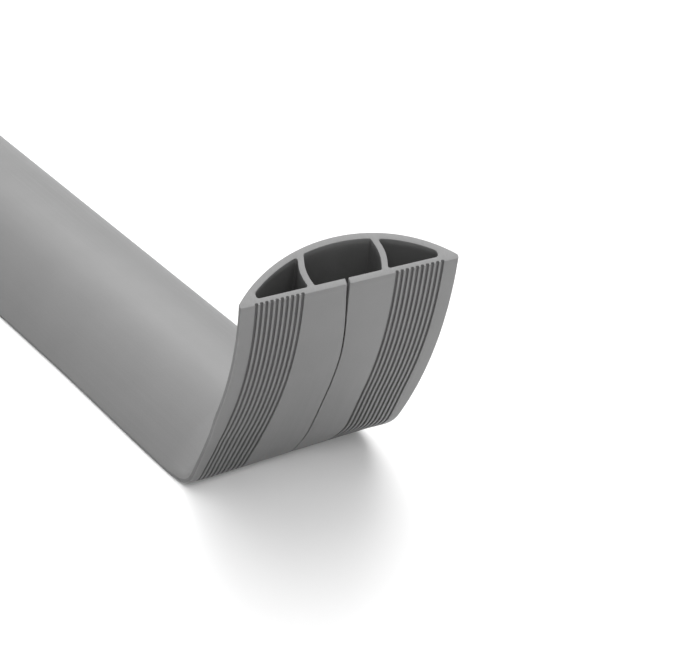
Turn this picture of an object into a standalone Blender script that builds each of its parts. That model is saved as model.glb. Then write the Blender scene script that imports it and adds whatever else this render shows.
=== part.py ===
"""Floor cord cover: one extruded strip of soft grey PVC with three cord channels under a low dome.

The strip lies on the floor on its flat, grooved underside. Its front end is folded up off the floor and
curls back, so that the underside, the slit for the cords and the cut end can be seen. The soft dome is
pinched in on the inside of the fold.
Metres, +Z up, +X along the strip towards the curled end, +Y across it. The floor is z = 0.
"""
import math

import bmesh
import bpy
from mathutils import Matrix, Vector

NAME = "cord_cover"

# Section: outside
WIDTH = 0.100
HEIGHT = 0.025
EDGE_HEIGHT = 0.0022
EDGE_BEVEL = 0.0005
DOME_STEPS = 32

# Section: walls and channels
BASE_WALL = 0.0032
DOME_WALL = 0.0031
WEB_WALL = 0.0029
WEB_AT_BASE = 0.0168
WEB_BULGE = 0.0014
WEB_STEPS = 6
SIDE_CHANNEL_TIP = 0.0415
TIP_HEIGHT = 0.0012
CEILING_STEPS = 10

# Section: slit and anti-slip grooves of the underside
SLIT_AT = -0.0008
SLIT_GAP = 0.0007
SLIT_MOUTH = 0.0014
SLIT_FLARE = 0.030
GROOVES_A_SIDE = 10
GROOVE_FIRST = 0.0215
GROOVE_LAST = 0.0425
GROOVE_WIDTH = 0.0010
GROOVE_DEPTH = 0.0008
GROOVE_FLOOR = 0.55

# Strip and its curled end, measured along the middle of the underside
LENGTH = 1.0
CURL_LENGTH = 0.1974
FOLD_RADIUS = 0.020
FOLD_ANGLE = math.radians(49.4)
END_ANGLE = math.radians(64.0)
CURL_POWER = 0.9
EASING = 0.008
TWIST = math.radians(-12.5)
TWIST_LENGTH = 0.052
DRIFT = math.radians(-12.6)
DRIFT_POWER = 0.7
FOLD_STATIONS = 8
CURL_STATIONS = 11
WALK = 0.0005

# Dome pinched in on the inside of the fold
PINCH = 0.0085
PINCH_RUN_IN = 0.014
PINCH_RUN_OUT = 0.020
PINCH_STATIONS = 4

GREY = (0.30, 0.30, 0.30, 1.0)
ROUGHNESS = 0.55
SHARP_ANGLE = math.radians(28.0)
WELD = 0.00001


def smoothstep(t):
    """Eases from 0 to 1."""
    t = min(max(t, 0.0), 1.0)
    return t * t * (3.0 - 2.0 * t)


def arc_radius(half_chord, rise):
    """Radius of the circle with this half chord and rise."""
    return (half_chord ** 2 + rise ** 2) / (2.0 * rise)


DOME_RADIUS = arc_radius(WIDTH / 2.0, HEIGHT - EDGE_HEIGHT)
DOME_CENTRE = HEIGHT - DOME_RADIUS
CEILING_RADIUS = DOME_RADIUS - DOME_WALL


def ceiling_height(y):
    """Height of the dome's inner surface above the floor."""
    return DOME_CENTRE + math.sqrt(CEILING_RADIUS ** 2 - y ** 2)


def dome_points():
    """Outer dome from the right edge over the top to the left edge."""
    reach = math.asin((WIDTH / 2.0 - EDGE_BEVEL / 2.0) / DOME_RADIUS)
    points = []
    for i in range(DOME_STEPS + 1):
        angle = reach - 2.0 * reach * i / DOME_STEPS
        points.append((DOME_RADIUS * math.sin(angle), DOME_CENTRE + DOME_RADIUS * math.cos(angle)))
    return points


def web_points(side, offset):
    """One face of a web, from its foot to the ceiling. The web bulges away from the middle."""
    top = ceiling_height(WEB_AT_BASE)
    points = []
    for i in range(WEB_STEPS + 1):
        t = i / WEB_STEPS
        bulge = WEB_BULGE * math.sin(math.pi * t)
        y = WEB_AT_BASE + bulge + offset
        z = BASE_WALL + (top - BASE_WALL) * t
        points.append([side * y, z])
    points[-1][1] = ceiling_height(points[-1][0])
    return [tuple(point) for point in points]


def groove_points(centre):
    """One groove of the underside, from its -Y lip to its +Y lip."""
    lip = GROOVE_WIDTH / 2.0
    floor = lip * GROOVE_FLOOR
    return [
        (centre - lip, 0.0),
        (centre - floor, GROOVE_DEPTH),
        (centre + floor, GROOVE_DEPTH),
        (centre + lip, 0.0),
    ]


def groove_centres():
    """Middles of the grooves on the +Y half, from the slit outwards."""
    pitch = (GROOVE_LAST - GROOVE_FIRST) / (GROOVES_A_SIDE - 1)
    return [GROOVE_FIRST + pitch * i for i in range(GROOVES_A_SIDE)]


def ceiling_points(start, end):
    """Inner dome surface between two places across the strip, without the ends."""
    return [
        (start + (end - start) * i / CEILING_STEPS, ceiling_height(start + (end - start) * i / CEILING_STEPS))
        for i in range(1, CEILING_STEPS)
    ]


def centre_channel():
    """Centre channel from the slit's +Y lip round to its -Y lip."""
    right = web_points(1.0, -WEB_WALL / 2.0)
    left = web_points(-1.0, -WEB_WALL / 2.0)
    return right + ceiling_points(right[-1][0], left[-1][0]) + left[::-1]


def outer_outline():
    """Closed outline: underside with its grooves and slit, centre channel, thin edges and dome."""
    half = WIDTH / 2.0
    points = [(-half + EDGE_BEVEL, 0.0)]
    for centre in groove_centres()[::-1]:
        points += groove_points(-centre)
    points.append((SLIT_AT - SLIT_GAP / 2.0, 0.0))
    points.append((SLIT_AT - SLIT_GAP / 2.0, BASE_WALL))
    points += centre_channel()[::-1]
    points.append((SLIT_AT + SLIT_GAP / 2.0, BASE_WALL))
    points.append((SLIT_AT + SLIT_GAP / 2.0, 0.0))
    for centre in groove_centres():
        points += groove_points(centre)
    points.append((half - EDGE_BEVEL, 0.0))
    points.append((half, EDGE_BEVEL))
    points.append((half, EDGE_HEIGHT - EDGE_BEVEL))
    points += dome_points()
    points.append((-half, EDGE_HEIGHT - EDGE_BEVEL))
    points.append((-half, EDGE_BEVEL))
    return points


def side_channel(side):
    """Closed outline of one side channel, which runs out to a blunt tip."""
    web = web_points(side, WEB_WALL / 2.0)
    tip = side * SIDE_CHANNEL_TIP
    points = web + ceiling_points(web[-1][0], tip)
    points.append((tip, ceiling_height(tip) - TIP_HEIGHT))
    points.append((tip, BASE_WALL + TIP_HEIGHT))
    points.append((tip - side * TIP_HEIGHT, BASE_WALL))
    return points


def add_loop(curve, points):
    """Adds one closed outline to a flat curve."""
    spline = curve.splines.new("POLY")
    spline.points.add(len(points) - 1)
    for target, (y, z) in zip(spline.points, points):
        target.co = (y, z, 0.0, 1.0)
    spline.use_cyclic_u = True


def extruded_section(collection):
    """The straight strip as a mesh, with its end that will curl up at x = CURL_LENGTH."""
    curve = bpy.data.curves.new("section", "CURVE")
    curve.dimensions = "2D"
    curve.fill_mode = "BOTH"
    curve.extrude = LENGTH / 2.0
    add_loop(curve, outer_outline())
    add_loop(curve, side_channel(1.0))
    add_loop(curve, side_channel(-1.0))
    outline = bpy.data.objects.new("section", curve)
    collection.objects.link(outline)
    to_strip_axes = Matrix(((0, 0, 1, 0), (1, 0, 0, 0), (0, 1, 0, 0), (0, 0, 0, 1)))
    outline.matrix_world = Matrix.Translation((CURL_LENGTH - LENGTH / 2.0, 0.0, 0.0)) @ to_strip_axes
    bpy.context.view_layer.update()
    evaluated = outline.evaluated_get(bpy.context.evaluated_depsgraph_get())
    mesh = bpy.data.meshes.new_from_object(evaluated)
    mesh.transform(outline.matrix_world)
    mesh.name = NAME
    bpy.data.objects.remove(outline)
    bpy.data.curves.remove(curve)
    return mesh


def spread(start, end, count):
    """Evenly spaced places from start up to, but without, the end."""
    return [start + (end - start) * i / count for i in range(count)]


def stations():
    """Places along the strip where the curled end is cut into rings."""
    fold_start = -EASING / 2.0
    fold_end = FOLD_RADIUS * FOLD_ANGLE + EASING / 2.0
    pinch_end = fold_end + PINCH_RUN_OUT
    places = spread(fold_start - PINCH_RUN_IN, fold_start, PINCH_STATIONS)
    places += spread(fold_start, fold_end, FOLD_STATIONS)
    places += spread(fold_end, pinch_end, PINCH_STATIONS)
    places += spread(pinch_end, CURL_LENGTH, CURL_STATIONS)
    return places + [CURL_LENGTH]


def rise_angle(s):
    """Angle of the underside to the floor: a tight fold, then a slow curl."""
    fold_end = FOLD_RADIUS * FOLD_ANGLE
    if s < fold_end:
        return max(s, 0.0) / FOLD_RADIUS
    along = min((s - fold_end) / (CURL_LENGTH - fold_end), 1.0)
    return FOLD_ANGLE + (END_ANGLE - FOLD_ANGLE) * along ** CURL_POWER


def eased_rise(s):
    """The rise averaged over a short stretch, so that the bend starts and ends gently."""
    shifts = [EASING * (k / 4.0 - 0.5) for k in range(5)]
    return sum(rise_angle(s + shift) for shift in shifts) / len(shifts)


def strip_axes(s):
    """Directions along the strip, across it and out of its top, at a place on the curl."""
    rise = eased_rise(s)
    drift = DRIFT * max(s / CURL_LENGTH, 0.0) ** DRIFT_POWER
    twist = TWIST * smoothstep(s / TWIST_LENGTH)
    along = Vector((math.cos(rise) * math.cos(drift), math.sin(drift), math.sin(rise) * math.cos(drift)))
    level = Vector((0.0, 1.0, 0.0))
    across = (level - along * along.dot(level)).normalized()
    out = along.cross(across)
    turned = math.cos(twist) * across + math.sin(twist) * out
    return along, turned, along.cross(turned)


def rings(places):
    """Position and axes of the strip at each station, found by walking along the curl."""
    position = Vector((places[0], 0.0, 0.0))
    s = places[0]
    result = []
    for place in places:
        steps = max(1, round((place - s) / WALK))
        stride = (place - s) / steps
        for k in range(steps):
            position = position + strip_axes(s + stride * (k + 0.5))[0] * stride
        s = place
        result.append((position.copy(), *strip_axes(place)[1:]))
    return result


def pinched(s, y, z):
    """Height in the section once the dome is pinched in at the fold. The base keeps its shape."""
    fold_start = EASING / 2.0
    fold_end = FOLD_RADIUS * FOLD_ANGLE - EASING / 2.0
    run_in = smoothstep((s - fold_start + EASING + PINCH_RUN_IN) / (EASING + PINCH_RUN_IN))
    run_out = 1.0 - smoothstep((s - fold_end) / (EASING + PINCH_RUN_OUT))
    across = 1.0 - (2.0 * y / WIDTH) ** 2
    room = max(ceiling_height(y) - BASE_WALL, BASE_WALL)
    share = min(max((z - BASE_WALL) / room, 0.0), 1.0)
    return z - PINCH * run_in * run_out * across * share


def slit_scale(s):
    """The slit gapes at the curled end's cut face and closes up behind it."""
    opening = smoothstep((s - CURL_LENGTH + SLIT_FLARE) / SLIT_FLARE)
    return 1.0 + (SLIT_MOUTH / SLIT_GAP - 1.0) * opening


def bend(mesh):
    """Cuts the strip at the stations and lays each ring on the curl."""
    places = stations()
    bm = bmesh.new()
    bm.from_mesh(mesh)
    bmesh.ops.remove_doubles(bm, verts=bm.verts, dist=WELD)
    for place in places[:-1]:
        everything = bm.verts[:] + bm.edges[:] + bm.faces[:]
        bmesh.ops.bisect_plane(bm, geom=everything, dist=WELD, plane_co=(place, 0, 0), plane_no=(1, 0, 0))
    axes = rings(places)
    for vert in bm.verts:
        s, y, z = vert.co
        if s < places[0] - WELD:
            continue
        index = min(range(len(places)), key=lambda i: abs(places[i] - s))
        position, across, out = axes[index]
        if abs(y - SLIT_AT) < SLIT_GAP:
            y = SLIT_AT + (y - SLIT_AT) * slit_scale(s)
        vert.co = position + across * y + out * pinched(s, y, z)
    bmesh.ops.recalc_face_normals(bm, faces=bm.faces)
    bm.to_mesh(mesh)
    bm.free()


def centre_on_box(mesh):
    """Moves the mesh so that the origin is the middle of its box, at floor level."""
    lows = [min(v.co[k] for v in mesh.vertices) for k in range(3)]
    highs = [max(v.co[k] for v in mesh.vertices) for k in range(3)]
    mesh.transform(Matrix.Translation((-(lows[0] + highs[0]) / 2.0, -(lows[1] + highs[1]) / 2.0, -lows[2])))


def soft_pvc():
    """Matt grey soft PVC."""
    material = bpy.data.materials.new("soft_grey_pvc")
    material.use_nodes = True
    shader = material.node_tree.nodes["Principled BSDF"]
    shader.inputs["Base Color"].default_value = GREY
    shader.inputs["Roughness"].default_value = ROUGHNESS
    shader.inputs["Metallic"].default_value = 0.0
    return material


def build():
    """Clears the scene and makes the strip."""
    for old in list(bpy.data.objects):
        bpy.data.objects.remove(old)
    collection = bpy.data.collections.new("floor_cord_cover")
    bpy.context.scene.collection.children.link(collection)
    mesh = extruded_section(collection)
    bend(mesh)
    centre_on_box(mesh)
    mesh.materials.append(soft_pvc())
    mesh.shade_smooth()
    mesh.set_sharp_from_angle(angle=SHARP_ANGLE)
    strip = bpy.data.objects.new(NAME, mesh)
    collection.objects.link(strip)


build()
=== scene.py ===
"""Looks of a floor cord cover: one extruded strip of soft grey PVC with its front end folded up.

The strip is swept here from a fine section along the same path as the solid it stands for, with rounded
groove lips, slit and channel corners. At the fold it has small forms that the solid lacks: the thin edges
ride up, the near one splays out and draws in, and the grooves are drawn sideways. It gets a soft matt
plastic skin with painted shade, darker greys in the grooves and on the blunt sides, and a slightly paler
cut face.
"""

import math

import bpy
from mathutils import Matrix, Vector
from mathutils.geometry import delaunay_2d_cdt


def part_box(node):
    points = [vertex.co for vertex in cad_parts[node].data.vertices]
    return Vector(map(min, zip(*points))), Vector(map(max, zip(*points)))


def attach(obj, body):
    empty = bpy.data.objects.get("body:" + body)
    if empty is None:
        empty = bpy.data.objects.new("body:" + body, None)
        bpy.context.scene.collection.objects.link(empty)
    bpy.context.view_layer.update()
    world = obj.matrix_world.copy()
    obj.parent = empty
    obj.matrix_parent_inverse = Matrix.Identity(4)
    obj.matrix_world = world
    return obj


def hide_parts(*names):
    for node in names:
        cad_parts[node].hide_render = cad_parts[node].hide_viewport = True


# Section: outside
WIDTH = 0.100
HEIGHT = 0.025
EDGE_HEIGHT = 0.0022
EDGE_ROUND = 0.0009
DOME_STEPS = 64

# Section: walls and channels
BASE_WALL = 0.0032
DOME_WALL = 0.0031
WEB_WALL = 0.0029
WEB_AT_BASE = 0.0168
WEB_BULGE = 0.0014
WEB_STEPS = 8
SIDE_CHANNEL_TIP = 0.0415
CEILING_STEPS = 12
CHANNEL_ROUND = 0.0009
TIP_ROUND = 0.0013
TIP_ROUND_TOP = 0.0022

# Section: slit and anti-slip grooves of the underside
SLIT_AT = -0.0008
SLIT_GAP = 0.0007
SLIT_MOUTH = 0.0014
SLIT_FLARE = 0.030
SLIT_ROUND = 0.00025
GROOVES_A_SIDE = 10
GROOVE_FIRST = 0.0215
GROOVE_LAST = 0.0425
GROOVE_WIDTH = 0.00115
GROOVE_DEPTH = 0.0009
GROOVE_LIP = 0.00018
GROOVE_FLOOR_ROUND = 0.882 * GROOVE_WIDTH / 2.0
ROUND_STEPS = 4

# Circles of the dome's outside and inside
DOME_RADIUS = ((WIDTH / 2.0) ** 2 + (HEIGHT - EDGE_HEIGHT) ** 2) / (2.0 * (HEIGHT - EDGE_HEIGHT))
DOME_CENTRE = HEIGHT - DOME_RADIUS
CEILING_RADIUS = DOME_RADIUS - DOME_WALL

# Fill of the cut faces: its scale, its tolerance and its rule to keep what is inside and leave the holes
MILLIMETRES = 1000.0
FILL_TOLERANCE = 1e-6
INSIDE_WITH_HOLES = 2

# Strip and its curled end, measured along the middle of the underside
LENGTH = 1.0
CURL_LENGTH = 0.1974
FOLD_RADIUS = 0.020
FOLD_ANGLE = math.radians(49.4)
END_ANGLE = math.radians(64.0)
CURL_POWER = 0.9
EASING = 0.008
EASING_SAMPLES = 5
TWIST = math.radians(-12.5)
TWIST_LENGTH = 0.052
DRIFT = math.radians(-12.6)
DRIFT_POWER = 0.7
WALK = 0.0005
CUT_ROUND = 0.00022
CUT_ROUND_STEPS = (0.0, 0.3, 1.0)
SHARP_ANGLE = math.radians(40.0)

# Dome pinched in on the inside of the fold
PINCH = 0.0085
PINCH_RUN_IN = 0.014
PINCH_RUN_OUT = 0.020

# Thin edges riding up at the ends of the fold; the near edge splays out before it and draws in behind it
LIFT_NEAR = 0.0010
LIFT_FAR = 0.0020
LIFT_WIDTH = 0.014
LIFT_SPAN = (-0.012, 0.006, 0.022)
SPLAY = 0.0020
SPLAY_WIDTH = 0.030
SPLAY_SPAN = (-0.140, -0.012, 0.040)
TUCK = 0.0023
TUCK_WIDTH = 0.011
TUCK_SPAN = (0.014, 0.045, 0.085)

# Underside pattern drawn sideways where the base is stretched round the fold, and the slit's own wander
WANDER_NEAR = -0.0026
WANDER_NEAR_SPAN = (-0.040, 0.012, 0.046)
WANDER_FAR = 0.0042
WANDER_FAR_SPAN = (-0.040, 0.012, 0.090)
SLIT_WANDER = 0.0030
SLIT_WANDER_SPAN = (0.125, 0.197)

# Rings of the sweep in each stretch
RINGS_SPLAY = 16
RINGS_PINCH_IN = 14
RINGS_FOLD = 26
RINGS_PINCH_OUT = 12
RINGS_CURL = 40

# Material slots of the mesh, their greys and how far they mirror the lights; the groove and blunt-side
# greys are painted shade
LOOK_SKIN, LOOK_GROOVE_SHADE, LOOK_SIDE_SHADE, LOOK_CUT = range(4)
SKIN_GREY = (0.182, 0.182, 0.182)
# Painted shade: the grooves' insides get a darker copy of the skin grey, standing in for the shadow in them
GROOVE_SHADE_GREY = (0.070, 0.070, 0.070)
# Painted shade: the blunt sides near the floor get a darker copy of the skin grey, standing in for the
# contact shadow along them
SIDE_SHADE_GREY = (0.115, 0.115, 0.115)
CUT_GREY = (0.204, 0.204, 0.204)
SKIN_SPECULAR = 0.42
CUT_SPECULAR = 0.35
UV_MAP = "strip"

# Values between which a noise mostly lies
NOISE_LOW = 0.3
NOISE_HIGH = 0.7

# Floor
FLOOR_SIZE = 60.0
FLOOR_GAP = 0.0002
FLOOR_GREY = (0.73, 0.73, 0.73)
FLOOR_GLOW = 0.13
FLOOR_ROUGHNESS = 0.9
FLOOR_SPECULAR = 0.1

# Light all round, and square lights by name, place, size and power, aimed near the fold
WHITE = (1.0, 1.0, 1.0, 1.0)
WORLD_STRENGTH = 0.16
LIGHT_AIM = Vector((0.3, 0.0, 0.0))
LIGHTS = (
    ("overhead", (0.4, 0.15, 1.9), 1.8, 36.0),
    ("front", (1.6, -0.6, 1.6), 1.2, 26.0),
    ("back", (-0.9, 1.0, 1.3), 1.2, 24.5),
)

# Camera, in strip axes: metres and angles; the frame is 679 by 663
FRAME_WIDTH = 679
FOCAL_PIXELS = 2749.0
CAMERA_AT = Vector((0.9796, -0.6033, 0.7433))
CAMERA_YAW = math.radians(146.60)
CAMERA_PITCH = math.radians(-30.39)
SENSOR = 36.0
CLIP_END = 50.0


def smoothstep(t):
    """Eases from 0 to 1."""
    t = min(max(t, 0.0), 1.0)
    return t * t * (3.0 - 2.0 * t)


def ceiling_height(y):
    """Height of the dome's inner surface above the floor."""
    return DOME_CENTRE + math.sqrt(CEILING_RADIUS ** 2 - y ** 2)


def rounded(corners):
    """Closed outline from (y, z, radius) corners, with an arc at each corner that has a radius."""
    outline = []
    for i, (y, z, radius) in enumerate(corners):
        here = Vector((y, z))
        if radius == 0.0:
            outline.append(here)
            continue
        back = (Vector(corners[i - 1][:2]) - here).normalized()
        ahead = (Vector(corners[(i + 1) % len(corners)][:2]) - here).normalized()
        half = back.angle(ahead) / 2.0
        centre = here + (back + ahead).normalized() * radius / math.sin(half)
        start = here + back * radius / math.tan(half) - centre
        turn = math.pi - 2.0 * half
        if back.x * ahead.y - back.y * ahead.x > 0.0:
            turn = -turn
        for k in range(ROUND_STEPS + 1):
            angle = turn * k / ROUND_STEPS
            cosine, sine = math.cos(angle), math.sin(angle)
            across = start.x * cosine - start.y * sine
            upwards = start.x * sine + start.y * cosine
            outline.append(centre + Vector((across, upwards)))
    return outline


def dome_corners():
    """Outer dome from the right edge over the top to the left edge."""
    reach = math.asin(WIDTH / 2.0 / DOME_RADIUS)
    corners = []
    for i in range(DOME_STEPS + 1):
        angle = reach - 2.0 * reach * i / DOME_STEPS
        radius = EDGE_ROUND / 2.0 if i in (0, DOME_STEPS) else 0.0
        corners.append((DOME_RADIUS * math.sin(angle), DOME_CENTRE + DOME_RADIUS * math.cos(angle), radius))
    return corners


def web_corners(side, offset):
    """One face of a web, from its foot to the ceiling. The web bulges away from the middle."""
    top = ceiling_height(WEB_AT_BASE)
    corners = []
    for i in range(WEB_STEPS + 1):
        t = i / WEB_STEPS
        y = WEB_AT_BASE + WEB_BULGE * math.sin(math.pi * t) + offset
        z = BASE_WALL + (top - BASE_WALL) * t
        if i == WEB_STEPS:
            z = ceiling_height(y)
        radius = CHANNEL_ROUND if i in (0, WEB_STEPS) else 0.0
        corners.append((side * y, z, radius))
    return corners


def ceiling_corners(start, end):
    """Inner dome surface between two places across the strip, without the ends."""
    corners = []
    for i in range(1, CEILING_STEPS):
        y = start + (end - start) * i / CEILING_STEPS
        corners.append((y, ceiling_height(y), 0.0))
    return corners


def groove_corners(centre):
    """One round-bottomed groove of the underside, from its -Y lip to its +Y lip."""
    lip = GROOVE_WIDTH / 2.0
    return [
        (centre - lip - GROOVE_LIP / 2.0, 0.0, GROOVE_LIP),
        (centre - lip, GROOVE_DEPTH, GROOVE_FLOOR_ROUND),
        (centre + lip, GROOVE_DEPTH, GROOVE_FLOOR_ROUND),
        (centre + lip + GROOVE_LIP / 2.0, 0.0, GROOVE_LIP),
    ]


def groove_centres():
    """Middles of the grooves on the +Y half, from the slit outwards."""
    pitch = (GROOVE_LAST - GROOVE_FIRST) / (GROOVES_A_SIDE - 1)
    return [GROOVE_FIRST + pitch * i for i in range(GROOVES_A_SIDE)]


def centre_channel():
    """Centre channel from the slit's -Y lip round to its +Y lip."""
    right = web_corners(1.0, -WEB_WALL / 2.0)
    left = web_corners(-1.0, -WEB_WALL / 2.0)
    return left + ceiling_corners(left[-1][0], right[-1][0]) + right[::-1]


def outer_outline():
    """Outline with the material on its left: underside, slit and centre channel, thin edges and dome."""
    half = WIDTH / 2.0
    corners = [(-half, 0.0, EDGE_ROUND)]
    for centre in groove_centres()[::-1]:
        corners += groove_corners(-centre)
    corners.append((SLIT_AT - SLIT_GAP / 2.0, 0.0, SLIT_ROUND))
    corners.append((SLIT_AT - SLIT_GAP / 2.0, BASE_WALL, SLIT_ROUND))
    corners += centre_channel()
    corners.append((SLIT_AT + SLIT_GAP / 2.0, BASE_WALL, SLIT_ROUND))
    corners.append((SLIT_AT + SLIT_GAP / 2.0, 0.0, SLIT_ROUND))
    for centre in groove_centres():
        corners += groove_corners(centre)
    corners.append((half, 0.0, EDGE_ROUND))
    return rounded(corners + dome_corners())


def side_channel(side):
    """Outline of one side channel with the material on its left."""
    web = web_corners(side, WEB_WALL / 2.0)
    tip = side * SIDE_CHANNEL_TIP
    corners = web + ceiling_corners(web[-1][0], tip)
    corners.append((tip, ceiling_height(tip), TIP_ROUND_TOP))
    corners.append((tip, BASE_WALL, TIP_ROUND))
    return rounded(corners if side > 0.0 else corners[::-1])


def skin_look(point):
    """Look of the skin at an outline point: the grooves and the blunt sides get darker greys as painted
    shade.
    """
    # Groove insides: painted shade
    if GROOVE_LIP < point.y < GROOVE_DEPTH + GROOVE_LIP and abs(point.x) < GROOVE_LAST + GROOVE_WIDTH:
        return LOOK_GROOVE_SHADE if abs(point.x) > GROOVE_FIRST - GROOVE_WIDTH else LOOK_SKIN
    # Blunt sides near the floor: painted contact shadow
    if point.y < EDGE_HEIGHT and abs(point.x) > WIDTH / 2.0 - EDGE_ROUND / 2.0:
        return LOOK_SIDE_SHADE
    return LOOK_SKIN


def material_side(outline):
    """Unit directions from each outline point into the material."""
    directions = []
    for i in range(len(outline)):
        run = outline[(i + 1) % len(outline)] - outline[i - 1]
        directions.append(Vector((-run.y, run.x)).normalized())
    return directions


def spread(start, end, count):
    """Evenly spaced places from start up to, but without, the end."""
    return [start + (end - start) * i / count for i in range(count)]


def stations():
    """Places of the rings, with a few close to each cut end for its rounded rim."""
    far_end = CURL_LENGTH - LENGTH
    fold_start = -EASING / 2.0
    fold_end = FOLD_RADIUS * FOLD_ANGLE + EASING / 2.0
    pinch_end = fold_end + PINCH_RUN_OUT
    rim = [CUT_ROUND * step for step in CUT_ROUND_STEPS]
    places = [far_end + step for step in rim]
    places += spread(SPLAY_SPAN[0], fold_start - PINCH_RUN_IN, RINGS_SPLAY)
    places += spread(fold_start - PINCH_RUN_IN, fold_start, RINGS_PINCH_IN)
    places += spread(fold_start, fold_end, RINGS_FOLD)
    places += spread(fold_end, pinch_end, RINGS_PINCH_OUT)
    places += spread(pinch_end, CURL_LENGTH - 2.0 * CUT_ROUND, RINGS_CURL)
    return places + [CURL_LENGTH - step for step in rim[::-1]]


def rise_angle(s):
    """Angle of the underside to the floor: a tight fold, then a slow curl."""
    fold_end = FOLD_RADIUS * FOLD_ANGLE
    if s < fold_end:
        return max(s, 0.0) / FOLD_RADIUS
    along = min((s - fold_end) / (CURL_LENGTH - fold_end), 1.0)
    return FOLD_ANGLE + (END_ANGLE - FOLD_ANGLE) * along ** CURL_POWER


def eased_rise(s):
    """The rise averaged over a short stretch, so that the bend starts and ends gently."""
    shifts = [EASING * (k / (EASING_SAMPLES - 1) - 0.5) for k in range(EASING_SAMPLES)]
    return sum(rise_angle(s + shift) for shift in shifts) / len(shifts)


def strip_axes(s):
    """Directions along the strip, across it and out of its top, at a place on the curl."""
    rise = eased_rise(s)
    drift = DRIFT * max(s / CURL_LENGTH, 0.0) ** DRIFT_POWER
    twist = TWIST * smoothstep(s / TWIST_LENGTH)
    along = Vector((math.cos(rise) * math.cos(drift), math.sin(drift), math.sin(rise) * math.cos(drift)))
    level = Vector((0.0, 1.0, 0.0))
    across = (level - along * along.dot(level)).normalized()
    out = along.cross(across)
    turned = math.cos(twist) * across + math.sin(twist) * out
    return along, turned, along.cross(turned)


def rings(places):
    """Position and axes of the strip at each station, found by walking along the curl."""
    position = Vector((places[0], 0.0, 0.0))
    s = places[0]
    result = []
    for place in places:
        steps = max(1, round((place - s) / WALK))
        stride = (place - s) / steps
        for k in range(steps):
            position = position + strip_axes(s + stride * (k + 0.5))[0] * stride
        s = place
        result.append((position.copy(), *strip_axes(place)[1:]))
    return result


def pinched(s, y, z):
    """Height in the section once the dome is pinched in at the fold. The base keeps its shape."""
    fold_start = EASING / 2.0
    fold_end = FOLD_RADIUS * FOLD_ANGLE - EASING / 2.0
    run_in = smoothstep((s - fold_start + EASING + PINCH_RUN_IN) / (EASING + PINCH_RUN_IN))
    run_out = 1.0 - smoothstep((s - fold_end) / (EASING + PINCH_RUN_OUT))
    across = 1.0 - (2.0 * y / WIDTH) ** 2
    room = max(ceiling_height(y) - BASE_WALL, BASE_WALL)
    share = min(max((z - BASE_WALL) / room, 0.0), 1.0)
    return z - PINCH * run_in * run_out * across * share


def swell(s, start, peak, end):
    """Rises from 0 at the start to 1 at the peak and falls back to 0 at the end."""
    if s < peak:
        return smoothstep((s - start) / (peak - start))
    return 1.0 - smoothstep((s - peak) / (end - peak))


def edge_lift(s, y):
    """How far the thin edges ride up at the two ends of the fold."""
    lift = LIFT_NEAR if y < 0.0 else LIFT_FAR
    inwards = (WIDTH / 2.0 - abs(y)) / LIFT_WIDTH
    return lift * swell(s, *LIFT_SPAN) * (1.0 - smoothstep(inwards))


def near_splay(s, y):
    """How far the -Y edge spreads outwards before the fold, less how far it draws in behind it."""
    inwards = WIDTH / 2.0 + y
    splay = SPLAY * swell(s, *SPLAY_SPAN) * (1.0 - smoothstep(inwards / SPLAY_WIDTH))
    tuck = TUCK * swell(s, *TUCK_SPAN) * (1.0 - smoothstep(inwards / TUCK_WIDTH))
    return splay - tuck


def wander(s, y, z):
    """How far the grooves and the slit are drawn sideways at the fold. The edges and the walls stay."""
    share = smoothstep((y + GROOVE_LAST) / (GROOVE_LAST + GROOVE_FIRST))
    near = WANDER_NEAR * swell(s, *WANDER_NEAR_SPAN)
    far = WANDER_FAR * swell(s, *WANDER_FAR_SPAN)
    margin = 1.0 - smoothstep((abs(y) - GROOVE_LAST) / (WIDTH / 2.0 - GROOVE_LAST))
    skin = 1.0 - smoothstep((z - GROOVE_DEPTH) / (BASE_WALL - GROOVE_DEPTH))
    return (near + (far - near) * share) * margin * skin


def at_slit(point):
    """Whether an outline point lies on the slit's walls or lips."""
    return abs(point.x - SLIT_AT) < SLIT_GAP + SLIT_ROUND and point.y < BASE_WALL + SLIT_ROUND


def slit_wander(s):
    """How far the slit strays from its place at the curled end's cut face."""
    start, end = SLIT_WANDER_SPAN
    return SLIT_WANDER * (1.0 - smoothstep((s - start) / (end - start)))


def slit_scale(s):
    """The slit gapes at the curled end's cut face and closes up behind it."""
    opening = smoothstep((s - CURL_LENGTH + SLIT_FLARE) / SLIT_FLARE)
    return 1.0 + (SLIT_MOUTH / SLIT_GAP - 1.0) * opening


def rim_inset(s):
    """How far the outline steps back into the material at the rounded rim of a cut end."""
    depth = min(s - (CURL_LENGTH - LENGTH), CURL_LENGTH - s)
    if depth >= CUT_ROUND:
        return 0.0
    return CUT_ROUND - math.sqrt(CUT_ROUND ** 2 - (CUT_ROUND - depth) ** 2)


def ring_points(outlines, inward, s, position, across, out):
    """All outline points of one ring, at their places in space."""
    points = []
    inset = rim_inset(s)
    for outline, directions in zip(outlines, inward):
        for point, direction in zip(outline, directions):
            y, z = point + direction * inset
            if at_slit(point):
                y = SLIT_AT + slit_wander(s) + (y - SLIT_AT) * slit_scale(s)
            height = pinched(s, y, z) + edge_lift(s, y)
            sideways = y - near_splay(s, y) + wander(s, y, z)
            points.append(position + across * sideways + out * height)
    return points


def outline_lengths(outline):
    """Distance round an outline at each of its points, and once more at its end."""
    lengths = [0.0]
    for i in range(len(outline)):
        lengths.append(lengths[-1] + (outline[(i + 1) % len(outline)] - outline[i]).length)
    return lengths


def face_look(here, ahead):
    """Look of a face between two neighbouring outline points: plain skin where theirs differ."""
    look = skin_look(here)
    return look if look == skin_look(ahead) else LOOK_SKIN


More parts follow.
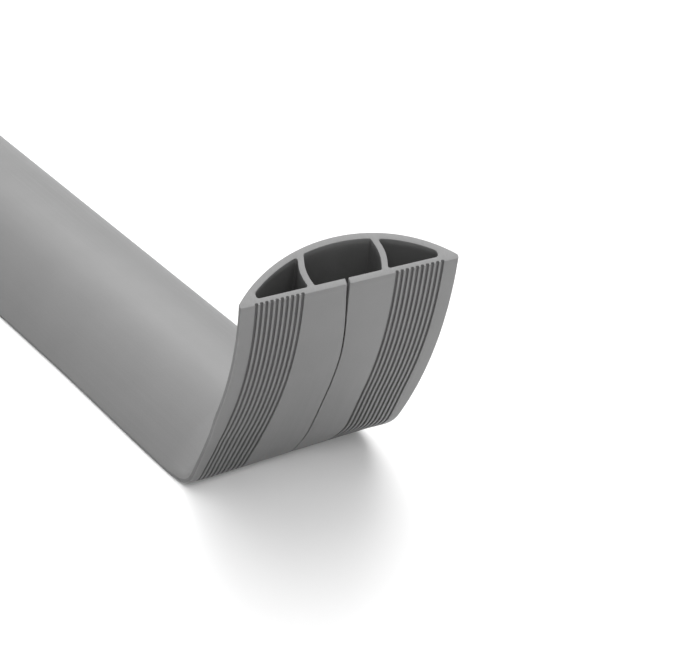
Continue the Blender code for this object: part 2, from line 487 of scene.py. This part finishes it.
def wall_faces(outlines, places):
    """Faces from each ring to the next, with their UV places and their looks."""
    ring_size = sum(len(outline) for outline in outlines)
    tables = [outline_lengths(outline) for outline in outlines]
    faces = []
    uvs = []
    looks = []
    for k in range(len(places) - 1):
        start = k * ring_size
        for outline, lengths in zip(outlines, tables):
            count = len(outline)
            for i in range(count):
                after = (i + 1) % count
                a = start + i
                b = start + after
                faces.append((a, b, b + ring_size, a + ring_size))
                uvs += [(places[k], lengths[i]), (places[k], lengths[i + 1])]
                uvs += [(places[k + 1], lengths[i + 1]), (places[k + 1], lengths[i])]
                looks.append(face_look(outline[i], outline[after]))
            start += count
    return faces, uvs, looks


def cap_triangles(outlines):
    """Triangles of a cut face, as indices into a ring, wound to face the curled end.

    The fill merges points that lie closer than its tolerance, so it gets them in millimetres.
    """
    points = []
    loops = []
    for outline in outlines:
        loops.append(list(range(len(points), len(points) + len(outline))))
        points += [point * MILLIMETRES for point in outline]
    return delaunay_2d_cdt(points, [], loops, INSIDE_WITH_HOLES, FILL_TOLERANCE)[2]


def cap_faces(outlines, last):
    """Faces of both cut ends, with their UV places. The last ring's points begin at the given index."""
    section = [point for outline in outlines for point in outline]
    faces = []
    uvs = []
    for a, b, c in cap_triangles(outlines):
        faces += [(a, c, b), (a + last, b + last, c + last)]
        uvs += [tuple(section[i]) for i in (a, c, b, a, b, c)]
    return faces, uvs


def strip_mesh(shift):
    """The swept strip. Its UV map is metres along the strip and round the section, or across a cut face."""
    outlines = [outer_outline(), side_channel(1.0), side_channel(-1.0)]
    inward = [material_side(outline) for outline in outlines]
    places = stations()
    points = []
    for s, (position, across, out) in zip(places, rings(places)):
        last = len(points)
        points += ring_points(outlines, inward, s, position + shift, across, out)
    faces, uvs, looks = wall_faces(outlines, places)
    caps, cap_uvs = cap_faces(outlines, last)
    mesh = bpy.data.meshes.new("cord_cover_skin")
    mesh.from_pydata([tuple(point) for point in points], [], faces + caps)
    layer = mesh.uv_layers.new(name=UV_MAP)
    layer.data.foreach_set("uv", [value for uv in uvs + cap_uvs for value in uv])
    mesh.polygons.foreach_set("material_index", looks + [LOOK_CUT] * len(caps))
    mesh.shade_smooth()
    mesh.set_sharp_from_angle(angle=SHARP_ANGLE)
    return mesh


class Nodes:
    """Small helper that adds shader nodes and links to one material."""

    def __init__(self, name):
        self.material = bpy.data.materials.new(name)
        self.material.use_nodes = True
        self.tree = self.material.node_tree
        self.shader = self.tree.nodes["Principled BSDF"]

    def add(self, kind, **settings):
        """A new node with its settings made."""
        node = self.tree.nodes.new(kind)
        for key, value in settings.items():
            setattr(node, key, value)
        return node

    def link(self, source, target):
        """Joins an output to an input."""
        self.tree.links.new(source, target)

    def noise(self, coordinates, scale, detail, stretch=(1.0, 1.0, 1.0)):
        """Noise in metres, made finer along some axes."""
        mapping = self.add("ShaderNodeMapping")
        mapping.inputs["Scale"].default_value = stretch
        self.link(coordinates, mapping.inputs["Vector"])
        noise = self.add("ShaderNodeTexNoise")
        noise.inputs["Scale"].default_value = scale
        noise.inputs["Detail"].default_value = detail
        self.link(mapping.outputs["Vector"], noise.inputs["Vector"])
        return noise.outputs["Fac"]

    def ramp(self, noise, low, high):
        """Maps a noise to values from low to high."""
        node = self.add("ShaderNodeMapRange")
        node.inputs["From Min"].default_value = NOISE_LOW
        node.inputs["From Max"].default_value = NOISE_HIGH
        node.inputs["To Min"].default_value = low
        node.inputs["To Max"].default_value = high
        self.link(noise, node.inputs["Value"])
        return node.outputs["Result"]

    def multiply(self, a, b):
        """Product of two varying values."""
        node = self.add("ShaderNodeMath", operation="MULTIPLY")
        self.link(a, node.inputs[0])
        self.link(b, node.inputs[1])
        return node.outputs[0]

    def tint(self, colour, factor):
        """Gives the shader a colour scaled by a factor that varies over the surface."""
        node = self.add("ShaderNodeVectorMath", operation="SCALE")
        node.inputs[0].default_value = colour
        self.link(factor, node.inputs["Scale"])
        self.link(node.outputs["Vector"], self.shader.inputs["Base Color"])

    def bump(self, height, distance, below=None):
        """Relief of a height between 0 and 1 times a distance in metres, laid over the relief below it."""
        node = self.add("ShaderNodeBump")
        node.inputs["Strength"].default_value = 1.0
        node.inputs["Distance"].default_value = distance
        self.link(height, node.inputs["Height"])
        if below is not None:
            self.link(below, node.inputs["Normal"])
        return node.outputs["Normal"]


def pvc_skin(name, grey):
    """Extruded skin: soft matt grey with faint die lines, mottling and a fine grain."""
    nodes = Nodes(name)
    along = nodes.add("ShaderNodeUVMap", uv_map=UV_MAP).outputs["UV"]
    place = nodes.add("ShaderNodeTexCoord").outputs["Object"]
    die_lines = nodes.noise(along, scale=1.0, detail=3.0, stretch=(6.0, 900.0, 1.0))
    waves = nodes.noise(along, scale=1.0, detail=2.0, stretch=(14.0, 60.0, 1.0))
    mottle = nodes.noise(place, scale=38.0, detail=4.0)
    grain = nodes.noise(place, scale=2600.0, detail=2.0)
    shade = nodes.ramp(mottle, low=0.98, high=1.02)
    shade = nodes.multiply(shade, nodes.ramp(die_lines, low=0.975, high=1.025))
    shade = nodes.multiply(shade, nodes.ramp(grain, low=0.97, high=1.03))
    nodes.tint(grey, shade)
    nodes.link(nodes.ramp(die_lines, low=0.47, high=0.57), nodes.shader.inputs["Roughness"])
    nodes.shader.inputs["Specular IOR Level"].default_value = SKIN_SPECULAR
    normal = nodes.bump(waves, distance=0.00025)
    normal = nodes.bump(die_lines, distance=0.000025, below=normal)
    normal = nodes.bump(grain, distance=0.000030, below=normal)
    nodes.link(normal, nodes.shader.inputs["Normal"])
    return nodes.material


def pvc_cut():
    """Knife-cut face: a little paler and duller, with faint drag lines."""
    nodes = Nodes("pvc_cut")
    across = nodes.add("ShaderNodeUVMap", uv_map=UV_MAP).outputs["UV"]
    place = nodes.add("ShaderNodeTexCoord").outputs["Object"]
    drag = nodes.noise(across, scale=1.0, detail=3.0, stretch=(1800.0, 220.0, 1.0))
    mottle = nodes.noise(place, scale=320.0, detail=4.0)
    grain = nodes.noise(place, scale=3200.0, detail=2.0)
    shade = nodes.ramp(mottle, low=0.95, high=1.05)
    shade = nodes.multiply(shade, nodes.ramp(drag, low=0.96, high=1.04))
    shade = nodes.multiply(shade, nodes.ramp(grain, low=0.96, high=1.04))
    nodes.tint(CUT_GREY, shade)
    nodes.link(nodes.ramp(mottle, low=0.58, high=0.70), nodes.shader.inputs["Roughness"])
    nodes.shader.inputs["Specular IOR Level"].default_value = CUT_SPECULAR
    normal = nodes.bump(drag, distance=0.00006)
    normal = nodes.bump(grain, distance=0.00004, below=normal)
    nodes.link(normal, nodes.shader.inputs["Normal"])
    return nodes.material


def floor_surface():
    """Plain pale floor, faintly lit from below like a light table, so that shadows stay soft."""
    nodes = Nodes("pale_floor")
    place = nodes.add("ShaderNodeTexCoord").outputs["Object"]
    clouds = nodes.noise(place, scale=3.0, detail=2.0)
    nodes.tint(FLOOR_GREY, nodes.ramp(clouds, low=0.995, high=1.005))
    nodes.shader.inputs["Emission Color"].default_value = WHITE
    nodes.shader.inputs["Emission Strength"].default_value = FLOOR_GLOW
    nodes.shader.inputs["Roughness"].default_value = FLOOR_ROUGHNESS
    nodes.shader.inputs["Specular IOR Level"].default_value = FLOOR_SPECULAR
    return nodes.material


def add_strip(shift):
    """Puts the dressed strip in place of the plain solid."""
    mesh = strip_mesh(shift)
    mesh.materials.append(pvc_skin("pvc_skin", SKIN_GREY))
    # Darker copy of the skin, painted shade inside the grooves
    mesh.materials.append(pvc_skin("pvc_groove_shade", GROOVE_SHADE_GREY))
    # Darker copy of the skin, painted contact shadow on the blunt sides
    mesh.materials.append(pvc_skin("pvc_side_shade", SIDE_SHADE_GREY))
    mesh.materials.append(pvc_cut())
    strip = bpy.data.objects.new("cord_cover_skin", mesh)
    bpy.context.scene.collection.objects.link(strip)
    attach(strip, "root")
    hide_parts("cord_cover")


def add_floor():
    """A wide floor that stays clear of the strip's underside by a hair."""
    bpy.ops.mesh.primitive_plane_add(size=FLOOR_SIZE, location=(0.0, 0.0, -FLOOR_GAP))
    floor = bpy.context.object
    floor.name = "floor"
    floor.data.materials.append(floor_surface())


def add_area_light(name, place, size, power):
    """A soft square light aimed near the fold."""
    data = bpy.data.lights.new(name, "AREA")
    data.shape = "SQUARE"
    data.size = size
    data.energy = power
    light = bpy.data.objects.new(name, data)
    light.location = place
    light.rotation_euler = (LIGHT_AIM - Vector(place)).to_track_quat("-Z", "Y").to_euler()
    bpy.context.scene.collection.objects.link(light)


def add_light():
    """A wide softbox overhead, one in front of the raised end, one behind, and a little light all round."""
    world = bpy.data.worlds.new("studio")
    bpy.context.scene.world = world
    world.use_nodes = True
    background = world.node_tree.nodes["Background"]
    background.inputs["Color"].default_value = WHITE
    background.inputs["Strength"].default_value = WORLD_STRENGTH
    for name, place, size, power in LIGHTS:
        add_area_light(name, place, size, power)
    scene = bpy.context.scene
    scene.view_settings.view_transform = "Standard"
    scene.view_settings.look = "None"


def add_camera(shift):
    """The photograph's viewpoint."""
    data = bpy.data.cameras.new("camera")
    data.sensor_fit = "HORIZONTAL"
    data.sensor_width = SENSOR
    data.lens = FOCAL_PIXELS / FRAME_WIDTH * SENSOR
    data.clip_end = CLIP_END
    camera = bpy.data.objects.new("camera", data)
    camera.location = CAMERA_AT + shift
    forward = Vector((
        math.cos(CAMERA_PITCH) * math.cos(CAMERA_YAW),
        math.cos(CAMERA_PITCH) * math.sin(CAMERA_YAW),
        math.sin(CAMERA_PITCH),
    ))
    camera.rotation_euler = forward.to_track_quat("-Z", "Y").to_euler()
    bpy.context.scene.collection.objects.link(camera)
    bpy.context.scene.camera = camera


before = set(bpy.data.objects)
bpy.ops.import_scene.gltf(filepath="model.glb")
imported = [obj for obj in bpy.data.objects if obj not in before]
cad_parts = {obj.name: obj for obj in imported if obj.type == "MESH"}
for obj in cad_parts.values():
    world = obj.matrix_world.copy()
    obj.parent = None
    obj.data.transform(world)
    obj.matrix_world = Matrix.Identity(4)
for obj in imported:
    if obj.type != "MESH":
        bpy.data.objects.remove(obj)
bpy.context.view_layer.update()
low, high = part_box("cord_cover")
strip_shift = Vector((low[0] + LENGTH - CURL_LENGTH, high[1] - WIDTH / 2.0, 0.0))
add_strip(strip_shift)
add_floor()
add_light()
add_camera(strip_shift)
